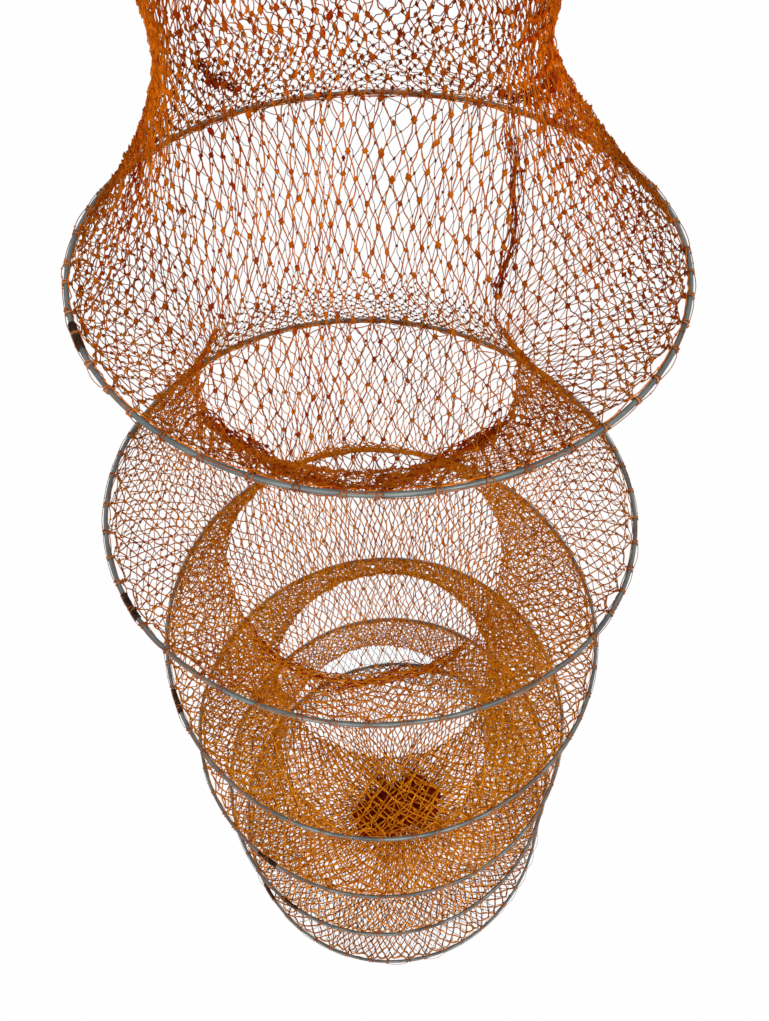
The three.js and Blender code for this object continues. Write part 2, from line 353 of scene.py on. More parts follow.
class KeepnetNetting(bpy.types.PropertyGroup):
    meshes_round: IntProperty(
        name="Meshes round", description="Meshes once round the tube of netting", default=120, min=24
    )
    bar: FloatProperty(
        name="Bar", description="One side of a mesh, from knot to knot", default=0.010, unit="LENGTH"
    )
    twine: FloatProperty(
        name="Twine", description="Thickness of the netting twine", default=0.00074, unit="LENGTH"
    )
    knot: FloatProperty(name="Knot", description="Width of a knot", default=0.0025, unit="LENGTH")
    unevenness: FloatProperty(
        name="Unevenness", description="How far a knot lies off its place", default=0.0006, unit="LENGTH"
    )
    waviness: FloatProperty(
        name="Waviness", description="How far the rows wander, in rows", default=0.3, min=0
    )
    streaks: FloatProperty(
        name="Streaks", description="How strongly the meshes crowd in pleats", default=0.13, min=0
    )
    upper_colour: FloatVectorProperty(
        name="Upper colour",
        description="Twine of the upper lengths",
        subtype="COLOR",
        default=(0.88, 0.225, 0.005),
    )
    upper_dark: FloatVectorProperty(
        name="Upper dark", description="Stained upper twine", subtype="COLOR", default=(0.30, 0.012, 0.0007)
    )
    lower_colour: FloatVectorProperty(
        name="Lower colour",
        description="Twine of the lower lengths",
        subtype="COLOR",
        default=(0.92, 0.335, 0.010),
    )
    lower_dark: FloatVectorProperty(
        name="Lower dark", description="Stained lower twine", subtype="COLOR", default=(0.40, 0.070, 0.003)
    )
    lowest_colour: FloatVectorProperty(
        name="Lowest colour",
        description="Twine of the last length",
        subtype="COLOR",
        default=(0.13, 0.062, 0.018),
    )


class KeepnetHoops(bpy.types.PropertyGroup):
    wire: FloatProperty(
        name="Wire",
        description="Thickness of the hoop wire",
        default=2 * wire_radius_of("1"),
        unit="LENGTH",
    )
    steps: IntProperty(name="Steps", description="Steps round each hoop", default=144, min=36)
    sides: IntProperty(name="Sides", description="Sides of the wire's section", default=10, min=6)
    tie_spacing: FloatProperty(
        name="Tie spacing", description="Along the hoop, from tie to tie", default=0.0245, unit="LENGTH"
    )
    tie_twine: FloatProperty(
        name="Tie twine", description="Thickness of the lashing twine", default=0.00125, unit="LENGTH"
    )
    scallop: FloatProperty(
        name="Scallop",
        description="The netting's pull off the hoops between ties, as a share",
        default=1.0,
        min=0,
    )
    colour: FloatVectorProperty(
        name="Wire colour",
        description="Colour of the bare wire",
        subtype="COLOR",
        default=(0.17, 0.185, 0.175),
    )
    tie_colour: FloatVectorProperty(
        name="Tie colour",
        description="Colour of the lashing twine",
        subtype="COLOR",
        default=(0.52, 0.20, 0.07),
    )
    wrap_colour: FloatVectorProperty(
        name="Joint wrap colour",
        description="Dark wrap of a hoop's joint",
        subtype="COLOR",
        default=(0.06, 0.03, 0.018),
    )


class KeepnetStage(bpy.types.PropertyGroup):
    floor_drop: FloatProperty(
        name="Floor drop", description="From the lowest point to the floor", default=0.5, unit="LENGTH"
    )
    floor_size: FloatProperty(
        name="Floor size", description="Side of the floor", default=12.0, unit="LENGTH"
    )
    camera_place: FloatVectorProperty(
        name="Camera place",
        description="Where the camera stands, from the mouth hoop's centre",
        subtype="TRANSLATION",
        unit="LENGTH",
        default=(0.010, -0.4552, 0.044),
    )
    camera_pitch: FloatProperty(
        name="Camera pitch",
        description="How far the camera looks down",
        subtype="ANGLE",
        unit="ROTATION",
        default=math.radians(51.0),
    )
    lens: FloatProperty(name="Lens", description="Focal length in millimetres", default=31.05)


# ---- Node trees ----


def put(tree, kind, inputs=None, **settings):
    """Adds a node to a tree, sets its settings, and fills its inputs with values or with other sockets."""
    node = tree.nodes.new(kind)
    for name, value in settings.items():
        setattr(node, name, value)
    for key, value in (inputs or {}).items():
        socket = node.inputs[key]
        if isinstance(value, bpy.types.NodeSocket):
            tree.links.new(value, socket)
        else:
            socket.default_value = value
    return node


def maths(tree, operation, *values, clamp=False):
    """What an operation makes of its values."""
    sockets = dict(enumerate(values))
    return put(tree, "ShaderNodeMath", sockets, operation=operation, use_clamp=clamp).outputs[0]


def mapped(tree, value, span=(0, 1), to=(0, 1)):
    """A value moved from one span to another, and held inside it."""
    sockets = {"Value": value, "From Min": span[0], "From Max": span[1], "To Min": to[0], "To Max": to[1]}
    return put(tree, "ShaderNodeMapRange", sockets).outputs[0]


def noise(tree, place, scale, detail):
    """A value from 0 to 1 that varies from place to place, more finely at a higher scale."""
    return put(tree, "ShaderNodeTexNoise", {"Vector": place, "Scale": scale, "Detail": detail}).outputs[0]


def mixed_colour(tree, share, first, second):
    """The first colour where the share is 0, the second where it is 1."""
    return put(tree, "ShaderNodeMix", {"Factor": share, 6: first, 7: second}, data_type="RGBA").outputs[2]


def random_vector(tree, low, high, seed):
    """A vector between low and high, different at each point."""
    sockets = {"Min": low, "Max": high, "Seed": seed}
    return put(tree, "FunctionNodeRandomValue", sockets, data_type="FLOAT_VECTOR").outputs[0]


def new_tree(name, kind, inputs, outputs):
    """A node group with the given sockets, as (name, socket kind, default), and its input and output node."""
    tree = bpy.data.node_groups.new(name, kind)
    for direction, sockets in (("INPUT", inputs), ("OUTPUT", outputs)):
        for label, socket_kind, default in sockets:
            socket = tree.interface.new_socket(label, in_out=direction, socket_type=socket_kind)
            if default is not None:
                socket.default_value = default
    return tree, tree.nodes.new("NodeGroupInput").outputs, tree.nodes.new("NodeGroupOutput")


def joined(tree, *geometries):
    """All the geometries as one."""
    node = tree.nodes.new("GeometryNodeJoinGeometry")
    for geometry in geometries:
        tree.links.new(geometry, node.inputs[0])
    return node.outputs[0]


def tube_of(tree, curve, thickness, sides):
    """A closed tube along a curve."""
    radius = maths(tree, "MULTIPLY", thickness, 0.5)
    ring = put(tree, "GeometryNodeCurvePrimitiveCircle", {"Resolution": sides, "Radius": radius})
    sockets = {"Curve": curve, "Profile Curve": ring.outputs["Curve"], "Fill Caps": True}
    return put(tree, "GeometryNodeCurveToMesh", sockets).outputs["Mesh"]


def finished(tree, sink, geometry, material):
    """Ends a geometry tree: every copy becomes real and gets the material."""
    real = put(tree, "GeometryNodeRealizeInstances", {0: geometry}).outputs[0]
    dressed = put(tree, "GeometryNodeSetMaterial", {"Geometry": real, "Material": material})
    tree.links.new(dressed.outputs[0], sink.inputs[0])


def twine_tree():
    """Twine along every line of a mesh, with a knot at each point whose knot attribute is above nothing. The
    knots are marked as tied, for their finish."""
    inputs = (
        ("Lines", "NodeSocketGeometry", None),
        ("Twine", "NodeSocketFloat", 0.0005),
        ("Sides", "NodeSocketInt", 3),
        ("Knot", "NodeSocketFloat", 0.0017),
        ("Knot sides", "NodeSocketInt", 4),
        ("Seed", "NodeSocketInt", SEED),
        ("Material", "NodeSocketMaterial", None),
    )
    outputs = (("Geometry", "NodeSocketGeometry", None),)
    tree, given, sink = new_tree("Twine and knots", "GeometryNodeTree", inputs, outputs)
    curve = put(tree, "GeometryNodeMeshToCurve", {"Mesh": given["Lines"]}).outputs[0]
    tube = tube_of(tree, curve, given["Twine"], given["Sides"])

    size = put(tree, "GeometryNodeInputNamedAttribute", {"Name": "knot"}, data_type="FLOAT").outputs[0]
    here = put(tree, "FunctionNodeCompare", {"A": size, "B": 0.01}, operation="GREATER_THAN").outputs[0]
    half = maths(tree, "MULTIPLY", given["Knot"], 0.5)
    ball = {"Segments": given["Knot sides"], "Rings": 2, "Radius": half}
    lump = put(tree, "GeometryNodeMeshUVSphere", ball).outputs[0]
    turn = random_vector(tree, (-0.5, -0.5, 0.0), (0.5, 0.5, math.tau), given["Seed"])
    spread = random_vector(tree, (0.65, 0.65, 1.0), (1.05, 1.05, 1.7), given["Seed"])
    scale = put(tree, "ShaderNodeVectorMath", {0: spread, "Scale": size}, operation="SCALE").outputs[0]
    copies = {"Points": given["Lines"], "Selection": here, "Instance": lump, "Rotation": turn, "Scale": scale}
    knots = put(tree, "GeometryNodeInstanceOnPoints", copies).outputs[0]
    knots = put(tree, "GeometryNodeRealizeInstances", {0: knots}).outputs[0]
    mark = {"Geometry": knots, "Name": "tied", "Value": 1.0}
    knots = put(tree, "GeometryNodeStoreNamedAttribute", mark, data_type="FLOAT").outputs[0]
    finished(tree, sink, joined(tree, tube, knots), given["Material"])
    return tree


def tree_named(name, make):
    """A node group that is made the first time that it is asked for."""
    return bpy.data.node_groups.get(name) or make()


# ---- Meshes ----


def linked(name, data):
    """An object of that data, in the scene."""
    made = bpy.data.objects.new(name, data)
    bpy.context.scene.collection.objects.link(made)
    return made


def made_by(tree, source, name, values):
    """A plain mesh object: what a geometry tree makes of a source object, which is then thrown away."""
    modifier = source.modifiers.new("Made", "NODES")
    modifier.node_group = tree
    for item in tree.interface.items_tree:
        if item.in_out == "INPUT" and item.name in values:
            modifier[item.identifier] = values[item.name]
    mesh = bpy.data.meshes.new_from_object(source.evaluated_get(bpy.context.evaluated_depsgraph_get()))
    mesh.name = name
    bpy.data.objects.remove(source)
    return linked(name, mesh)


def line_object(name, points, edges, floats):
    """A mesh of bare lines that a geometry tree works on, with a number for each point under each name."""
    mesh = bpy.data.meshes.new(name)
    mesh.from_pydata([tuple(p) for p in points], [tuple(e) for e in edges], [])
    for key, values in floats.items():
        mesh.attributes.new(key, "FLOAT", "POINT").data.foreach_set("value", np.asarray(values, np.float32))
    return linked(name, mesh)


def closed_edges(count, start=0):
    """The edges of one closed line of that many points."""
    order = np.arange(count)
    return np.stack([order, (order + 1) % count], axis=1) + start


def open_edges(count, start=0):
    """The edges of one open line of that many points."""
    order = np.arange(count - 1)
    return np.stack([order, order + 1], axis=1) + start


def twine_piece(name, lines, knots, twine, knot, material, edges_of=closed_edges, shade=None):
    """A plain mesh of netting twine along lines, with its knots, and the painted shade at each point."""
    starts = np.concatenate([[0], np.cumsum([len(line) for line in lines])[:-1]])
    edges = np.vstack([edges_of(len(line), start) for line, start in zip(lines, starts)])
    points, size = knots
    places = np.vstack([*lines, points])
    sizes = np.concatenate([np.zeros(len(places) - len(points)), size])
    floats = {"knot": sizes} if shade is None else {"knot": sizes, "shade": shade}
    source = line_object(name + "_lines", places, edges, floats)
    values = {"Twine": twine, "Knot": knot, "Material": material}
    return made_by(tree_named("Twine and knots", twine_tree), source, name, values)


def cord_piece(name, points, thickness, sides, material):
    """One open cord through the points, without knots."""
    source = line_object(name + "_line", points, open_edges(len(points)), {"knot": np.zeros(len(points))})
    values = {"Twine": thickness, "Sides": sides, "Material": material}
    return made_by(tree_named("Twine and knots", twine_tree), source, name, values)


def knots_of(groups, rng, smallest, largest):
    """The knots that were picked from several lines, with a size for each."""
    points = np.vstack(groups)
    return points, rng.uniform(smallest, largest, len(points))


def skin_faces(rings, sides, closed):
    """The four-sided faces from each ring of points to the next."""
    faces = []
    for i in range(rings if closed else rings - 1):
        here, ahead = i * sides, (i + 1) % rings * sides
        for k in range(sides):
            m = (k + 1) % sides
            faces.append((here + k, ahead + k, ahead + m, here + m))
    return faces


def smooth_piece(name, vertices, faces, material):
    """A smoothly shaded mesh object of one material."""
    mesh = bpy.data.meshes.new(name)
    mesh.from_pydata([tuple(v) for v in vertices], [], faces)
    mesh.shade_smooth()
    mesh.materials.append(material)
    return linked(name, mesh)


def unit(vectors):
    """The vectors at a length of 1."""
    return vectors / np.maximum(np.linalg.norm(vectors, axis=-1, keepdims=True), 1e-9)


# ---- Finishes ----


def tone_group():
    """Uneven colour of twine: fine fibre flecks, paler and darker strands, wide darker patches, darker knots,
    painted shade where the meshes lie open, and a change from the upper lengths' colours to the lower ones'."""
    colours = ("Upper", "Upper dark", "Lower", "Lower dark")
    inputs = [(name, "NodeSocketColor", (0.5, 0.1, 0.01, 1)) for name in colours]
    inputs.append(("Darkened", "NodeSocketFloat", 0.8))
    inputs.append(("Tied", "NodeSocketFloat", 0.0))
    inputs.append(("Shade", "NodeSocketFloat", 0.0))
    outputs = (("Color", "NodeSocketColor", None), ("Height", "NodeSocketFloat", None))
    tree, given, sink = new_tree("Twine tone", "ShaderNodeTree", inputs, outputs)
    place = tree.nodes.new("ShaderNodeTexCoord").outputs["Object"]

    fleck = noise(tree, place, 1500.0, 1.0)
    strand = mapped(tree, noise(tree, place, 170.0, 2.0), (0.40, 0.62))
    wide = mapped(tree, noise(tree, place, 14.0, 2.0), (0.38, 0.64))
    # A darker colour is mixed in by noise, over single strands and wide patches.
    share = maths(tree, "MULTIPLY_ADD", wide, 0.4, maths(tree, "MULTIPLY", strand, 0.6))
    # Knots get more of that darker colour.
    at_knot = mapped(tree, given["Tied"], to=(0.04, 0.22))
    share = maths(tree, "MULTIPLY_ADD", share, given["Darkened"], at_knot, clamp=True)
    height = put(tree, "ShaderNodeSeparateXYZ", {0: place}).outputs["Z"]
    below = mapped(tree, height, (-0.20, -0.70))
    clean = mixed_colour(tree, below, given["Upper"], given["Lower"])
    dark_colour = mixed_colour(tree, below, given["Upper dark"], given["Lower dark"])
    light = mapped(tree, fleck, to=(0.72, 1.25))
    # The flecks' brightness, made darker by the painted shade where the meshes lie open.
    light = maths(tree, "MULTIPLY", light, maths(tree, "SUBTRACT", 1.0, given["Shade"]))
    colour = {0: mixed_colour(tree, share, clean, dark_colour), "Scale": light}
    scaled = put(tree, "ShaderNodeVectorMath", colour, operation="SCALE").outputs[0]
    tree.links.new(scaled, sink.inputs["Color"])
    tree.links.new(fleck, sink.inputs["Height"])
    return tree


def principled(name, constants=None):
    """A material with one Principled shader, whose plain inputs are set on the shader itself."""
    material = bpy.data.materials.new(name)
    material.use_nodes = True
    shader = material.node_tree.nodes["Principled BSDF"]
    for key, value in (constants or {}).items():
        shader.inputs[key].default_value = value
    return material, material.node_tree, shader


def twine_material(name, upper, upper_dark, lower=None, lower_dark=None, darkened=0.85):
    """Laid twine: uneven colour, matt, with a little relief from its fibres. It is made the first time that
    its name is asked for."""
    if name in bpy.data.materials:
        return bpy.data.materials[name]
    material, tree, shader = principled(name, {"Roughness": 0.7, "Specular IOR Level": 0.02})
    tone = tree.nodes.new("ShaderNodeGroup")
    tone.node_tree = tree_named("Twine tone", tone_group)
    colours = {
        "Upper": upper,
        "Upper dark": upper_dark,
        "Lower": lower or upper,
        "Lower dark": lower_dark or upper_dark,
    }
    for socket, colour in colours.items():
        tone.inputs[socket].default_value = (*colour, 1)
    tone.inputs["Darkened"].default_value = darkened
    for socket, attribute in (("Tied", "tied"), ("Shade", "shade")):
        read = put(tree, "ShaderNodeAttribute", attribute_name=attribute).outputs["Fac"]
        tree.links.new(read, tone.inputs[socket])
    relief = {"Height": tone.outputs["Height"], "Strength": 0.35, "Distance": 0.0002}
    tree.links.new(tone.outputs["Color"], shader.inputs["Base Color"])
    tree.links.new(put(tree, "ShaderNodeBump", relief).outputs[0], shader.inputs["Normal"])
    return material


def netting_material(settings):
    """The orange twine of the netting, more golden in the lower lengths."""
    colours = (settings.upper_colour, settings.upper_dark, settings.lower_colour, settings.lower_dark)
    return twine_material("Netting twine", *colours)


def lowest_material(settings):
    """The darker brown colour given to the last length."""
    return twine_material("Lowest netting twine", settings.lowest_colour, (0.07, 0.028, 0.008))


def tie_material(settings):
    """The twine of the lashings and of the bunch's tie."""
    return twine_material("Lashing twine", settings.tie_colour, (0.20, 0.035, 0.008))


def wrap_material(settings):
    """The dark twine that binds a hoop's joint."""
    return twine_material("Joint wrap", settings.wrap_colour, (0.015, 0.01, 0.008))


def core_shade_material():
    """The heap of netting inside the mound: its twine, made darker with painted shade."""
    return twine_material("Crumpled netting in painted shade", (0.320, 0.024, 0.001), (0.100, 0.006, 0.001), darkened=1.0)


def bunch_shade_material():
    """The crumpled twine over the mound, in the folds and in the tuft, made darker with painted shade."""
    return twine_material("Bunched twine in painted shade", (0.34, 0.030, 0.002), (0.12, 0.005, 0.001), darkened=1.0)


def slack_shade_material():
    """The twine of the slack rolls, the creases and the laced seam, made red-brown with painted shade."""
    return twine_material("Slack netting in painted shade", (0.46, 0.060, 0.002), (0.17, 0.009, 0.001), darkened=0.95)


def wire_material(colour):
    """Galvanised wire that has gone dull, with darker tarnish and fine drawn scratches."""
    material, tree, shader = principled("Wire")
    place = tree.nodes.new("ShaderNodeTexCoord").outputs["Object"]
    patch = noise(tree, place, 55.0, 4.0)
    dark = mapped(tree, patch, (0.35, 0.68))
    tarnish = tuple(0.45 * c for c in colour)
    relief = {"Height": noise(tree, place, 900.0, 2.0), "Strength": 0.25, "Distance": 0.0002}
    sockets = {
        "Base Color": mixed_colour(tree, dark, (*colour, 1), (*tarnish, 1)),
        "Metallic": mapped(tree, dark, to=(0.55, 0.25)),
        "Roughness": mapped(tree, patch, to=(0.32, 0.65)),
        "Normal": put(tree, "ShaderNodeBump", relief).outputs[0],
    }
    for key, value in sockets.items():
        tree.links.new(value, shader.inputs[key])
    return material


# ---- The netting ----


def section_place(section):
    """A point on the wall of one length of netting, from the angle and the reach: -1 is at the upper hoop, 0
    at the neck and 1 at the lower hoop."""
    upper, neck, lower = HOOPS[section], NECKS[section], HOOPS[section + 1]
    curve_in, curve_out, skew = LEG_CURVES[section]

    def at(angle, reach):
        angle, reach = np.broadcast_arrays(angle, reach)
        start = neck(angle)
        end = np.where((reach < 0)[..., None], upper(angle), lower(angle))
        far = np.abs(reach)
        out = far ** np.where(reach < 0, curve_in, curve_out - skew * np.cos(angle))
        share = np.stack([out, out, far], axis=-1)
        return start + (end - start) * share

    return at


def bottom_place(angle, reach):
    """A point on the bottom netting: reach is -1 at the last hoop and 0 at the bunch."""
    angle, reach = np.broadcast_arrays(angle, reach)
    start, end = BUNCH_RING(angle), HOOPS[-1](angle)
    point = start + (end - start) * (-reach)[..., None]
    point[..., 2] -= BOTTOM_SAG * np.sin(-math.pi * reach)
    return point


def row_reaches(place, last, settings, bar):
    """The reach of each row of knots, so that the bars come out at their length all the way down."""
    reach = np.linspace(-1, last, 401)
    angle = np.linspace(0, math.tau, 73)[:, None]
    points = place(angle, reach[None])
    length = np.linalg.norm(np.diff(points, axis=1), axis=2).mean(axis=0)
    around = np.linalg.norm(np.diff(points, axis=0), axis=2).sum(axis=0)
    half_mesh = (around[1:] + around[:-1]) / 4 / settings.meshes_round
    spacing = np.sqrt(np.maximum(bar**2 - half_mesh**2, (bar * 0.3) ** 2))
    rows = np.concatenate([[0], np.cumsum(length / spacing)])
    count = round(rows[-1])
    return np.interp(np.linspace(0, rows[-1], count + 1), rows, reach)


def crowded(columns, count, waves):
    """The angle of each column when the meshes are crowded by waves of (count round, strength, turn)."""
    even = np.linspace(-math.pi, math.pi * 3, 1441)
    packed = even.copy()
    for wave, strength, turn in waves:
        packed = packed + strength / wave * np.sin(wave * even - turn)
    return np.interp(columns * math.tau / count, packed, even)


def hoop_ties(hoop, settings):
    """The angles of a hoop's ties, a little uneven, and the same each time that they are asked for."""
    rng = np.random.default_rng(SEED + 50 + hoop)
    ring = HOOPS[hoop](np.linspace(0, math.tau, 181))
    around = np.linalg.norm(np.diff(ring, axis=0), axis=1).sum()
    count = round(around / settings.tie_spacing)
    return (np.arange(count) + rng.uniform(-TIE_UNEVEN, TIE_UNEVEN, count)) * math.tau / count


def pulled_to_ties(angle, ties, share):
    """Moves angles part of the way to the nearest tie, and says how far between two ties each one was."""
    apart = (angle[:, None] - ties[None] + math.pi) % math.tau - math.pi
    nearest = np.take_along_axis(apart, np.abs(apart).argmin(axis=1)[:, None], axis=1)[:, 0]
    between = np.minimum(np.abs(nearest) / (math.pi / len(ties)), 1.0)
    return angle - nearest * share, between


def to_and_fro(upper, lower, upper_odd):
    """The knots of two rows in the order of the closed line that zigzags between them."""
    pair = (lower, upper) if upper_odd else (upper, lower)
    return np.stack(pair, axis=1).reshape(-1, 3)


class Lattice:
    """The knots of one length of netting, row by row, and the bars between them. Parity is 1 where the first
    row is half a mesh further round."""

    def __init__(self, section, parity, settings, hoop_settings):
        bottom = section == SECTIONS
        self.section = section
        self.parity = parity
        self.settings = settings
        self.hoop_settings = hoop_settings
        self.kind = KNOTTING[section]
        self.hoops = (section,) if bottom else (section, section + 1)
        self.place = bottom_place if bottom else section_place(section)
        self.reaches = row_reaches(self.place, 0 if bottom else 1, settings, settings.bar * self.kind["bar"])
        self.rng = np.random.default_rng(SEED + parity + 10 * section)
        self.rows = [self.row(i) for i in range(len(self.reaches))]

    def streaks(self, hoop):
        """The lengthwise crowding at a hoop, the same for the netting above and below it."""
        rng = np.random.default_rng(SEED + 100 * hoop)
        turns = rng.uniform(0, math.tau, len(STREAK_COUNTS))
        return [(wave, self.settings.streaks, turn) for wave, turn in zip(STREAK_COUNTS, turns)]

    def crowding(self, reach, down):
        """The waves that crowd the meshes of a row: the neck's, the open front's, and the pleats', which
        change from those of the upper hoop to those of the lower one."""
        drawn_in = (1 - abs(reach)) ** CROWDING_FADE
        neck = NECK_CROWDING[self.section]
        waves = [(count, strength * drawn_in, math.radians(turn)) for count, strength, turn in neck]
        waves.append((1, OPEN_FRONT[self.section], math.pi / 2))
        for above, below in zip(self.streaks(self.section), self.streaks(self.section + 1)):
            waves.append((above[0], above[1] * (1 - down), above[2]))
            waves.append((below[0], below[1] * down, below[2]))
        return waves

    def sway(self, angle, down):
        """How far up or down the rows wander at each angle, by the same waves in every row."""
        rng = np.random.default_rng(SEED + 1000 + self.section)
        total = 0
        for wave in SWAY_WAVES:
            size = rng.uniform(0.4, 1.0) / wave
            turn = rng.uniform(0, math.tau)
            drift = rng.uniform(-2, 2)
            total = total + size * np.cos(wave * angle + turn + drift * down)
        return total

    def row(self, i):
        """The knots of one row."""
        settings, last = self.settings, len(self.reaches) - 1
        reach = self.reaches[i]
        down = i / last
        columns = np.arange(settings.meshes_round) + ((i + self.parity) % 2) / 2
        angle = crowded(columns, settings.meshes_round, self.crowding(reach, down))

        if i in (0, last) and (i == 0 or len(self.hoops) > 1):
            return self.hoop_row(angle, self.hoops[0] if i == 0 else self.hoops[1])

        ends = [(self.hoops[0], i)] + [(hoop, last - i) for hoop in self.hoops[1:]]
        hoop, rows_off = min(ends, key=lambda end: end[1])
        fade = math.exp(-rows_off / PULL_FADE)
        ties = hoop_ties(hoop, self.hoop_settings)
        angle, between = pulled_to_ties(angle, ties, LASHING[hoop]["pull"] * fade)
        wander = settings.waviness * math.sin(math.pi * down) ** 0.5 * np.gradient(self.reaches)[i]
        lowest = -0.001 if len(self.hoops) == 1 else 0.999
        reach = np.clip(reach + SWAY_SIZE * wander * self.sway(angle, down), -0.999, lowest)
        points = self.place(angle, reach)
        inward = unit(HOOP_MIDDLES[hoop] - points)
        scallop = self.hoop_settings.scallop * LASHING[hoop]["scallop"]
        points = points + inward * (scallop * SCALLOP_BESIDE * fade * between**1.5)[:, None]
        return points + self.rng.normal(0, 1, points.shape) * settings.unevenness * self.kind["uneven"]

    def hoop_row(self, angle, hoop):
        """The row that is lashed to a hoop. Its knots are drawn to the ties and pull inwards between them."""
        hoop_settings = self.hoop_settings
        angle, between = pulled_to_ties(angle, hoop_ties(hoop, hoop_settings), LASHING[hoop]["pull"])
        points = HOOPS[hoop](angle)
        inward = unit(HOOP_MIDDLES[hoop] - points)
        scallop = hoop_settings.scallop * LASHING[hoop]["scallop"]
        off = hoop_settings.wire / 2 + self.settings.twine + scallop * between**1.5
        return points + inward * off[:, None]

    def shade(self, points):
        """The painted shade of each point of a closed row of meshes: darker where the row lies open."""
        width = np.linalg.norm(np.roll(points, -1, axis=0) - points, axis=1)
        width = (np.roll(width, 2) + np.roll(width, 1) + width + np.roll(width, -1)) / 4
        return np.clip((width - OPEN_MESH[0]) / (OPEN_MESH[1] - OPEN_MESH[0]), 0, 1) * self.kind["shade"]

    def lines(self, first, last, steps):
        """The half rows from one row to another, each a closed zigzag line of bars, and their painted shade."""
        lines, shades = [], []
        for i in range(first, last):
            corners = to_and_fro(self.rows[i], self.rows[i + 1], (i + self.parity) % 2)
            lines.append(self.zigzag(corners, steps))
            shades.append(np.repeat(self.shade(self.rows[i]), 2 * steps))
        return lines, np.concatenate(shades)

    def knots(self, first, last):
        """The knots from one row to another, with a size and a painted shade for each."""
        points = np.vstack(self.rows[first:last])
        share, larger = LARGE_KNOTS
        size = self.rng.uniform(*KNOT_SIZES, len(points))
        size *= np.where(self.rng.random(len(points)) < share, larger, 1.0)
        return (points, size), np.concatenate([self.shade(row) for row in self.rows[first:last]])

    def zigzag(self, corners, steps):
        """One closed line through the corners. Each bar hangs slack. Where it has more than two steps, it
        leaves the side of its knot a little upright, and the last of its steps crosses the next knot."""
        settings = self.settings
        run = np.roll(corners, -1, axis=0) - corners
        outward = unit((corners - corners.mean(axis=0)) * [1, 1, 0])
        upright = np.cross(unit(np.roll(corners, -2, axis=0) - corners), outward)
        upright = unit(upright) * np.sign((upright * run).sum(axis=1, keepdims=True))
        across = unit(run - upright * (run * upright).sum(axis=1, keepdims=True))
        aside = across * settings.knot * (KNOT_EXIT if steps > 2 else 0)
        start, end = corners + aside, np.roll(corners, -1, axis=0) - aside

        length = np.linalg.norm(run, axis=1, keepdims=True)
        bar = settings.bar * self.kind["bar"]
        spare = np.maximum(bar * (1 + self.kind["slack"]) - length, LEAST_SPARE * bar)
        bow = np.minimum(2 / math.pi * np.sqrt(length * spare), MOST_BOW * length)
        bow = bow * self.rng.uniform(0.25, 1.0, length.shape)
        turn = self.rng.normal(0, 1.0, length.shape)
        side = np.where(self.rng.random(length.shape) < 0.5, -1, 1)
        sideways = unit(np.cross(run, outward))
        normal = unit(np.cross(sideways, run))
        hang = unit(sideways * side * np.cos(turn) + normal * np.sin(turn) + [0, 0, -DROOP])

        ease = BAR_EASE * length
        first, second = start + upright * ease, end - upright * ease
        points = [start]
        pieces = steps - 1 if steps > 2 else steps
        for k in range(1, steps):
            t = k / pieces
            curve = (
                (1 - t) ** 3 * start + 3 * t * (1 - t) ** 2 * first + 3 * t**2 * (1 - t) * second + t**3 * end
            )
            points.append(curve + hang * bow * math.sin(math.pi * t))
        return np.stack(points, axis=1).reshape(-1, 3)


def netting_legs(lattice):
    """The pieces that a length of netting is made in: name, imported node, first and last row, the hoop that it
    hangs on, and the steps in a bar."""
    section, kind = lattice.section, lattice.kind
    last = len(lattice.reaches) - 1
    if section == SECTIONS:
        return [("netting_bottom", "net_bottom", 0, last, section, kind["above"])]
    neck = int(np.abs(lattice.reaches).argmin())
    name, node = f"netting_{section}_", f"net_{section}_"
    return [
        (name + "upper", node + "upper", 0, neck, section, kind["above"]),
        (name + "lower", node + "lower", neck, last, section + 1, kind["below"]),
    ]


def netting_piece(name, lattice, first, last, steps, material):
    """One leg of a length of netting."""
    settings, kind = lattice.settings, lattice.kind
    lines, line_shade = lattice.lines(first, last, steps)
    knots, knot_shade = lattice.knots(first, last)
    # Painted shade of the bars and the knots, darker where the meshes lie open.
    shade = np.concatenate([line_shade, knot_shade])
    twine, knot = settings.twine * kind["twine"], settings.knot * kind["knot"]
    return twine_piece(name, lines, knots, twine, knot, material, shade=shade)


class KEEPNET_OT_netting(bpy.types.Operator):
    """Knots the netting between the hoops and across the bottom"""

    bl_idname = "keepnet.netting"
    bl_label = "Netting"
    bl_options = {"REGISTER", "UNDO"}

    def execute(self, context):
        settings = context.scene.keepnet_netting
        parity = 0
        for section in range(SECTIONS + 1):
            lattice = Lattice(section, parity, settings, context.scene.keepnet_hoops)
            above_bottom = section == SECTIONS - 1
            material = lowest_material(settings) if above_bottom else netting_material(settings)
            for name, node, first, last, hoop, steps in netting_legs(lattice):
                piece = netting_piece(name, lattice, first, last, steps, material)
                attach(piece, "root")
                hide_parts(node)
            parity = (parity + len(lattice.reaches) - 1) % 2
        return {"FINISHED"}


def loose_wave(t, steps, rng):
    """How far a loose strand wanders to one side along its path."""
    wave = 0
    for count in STRAND_WAVES:
        size = rng.normal(0, STRAND_SPREAD)
        turn = rng.uniform(0, math.tau)
        wave = wave + size * np.sin(count * math.pi * t * steps / STRAND_WAVE_STEPS + turn)
    return wave


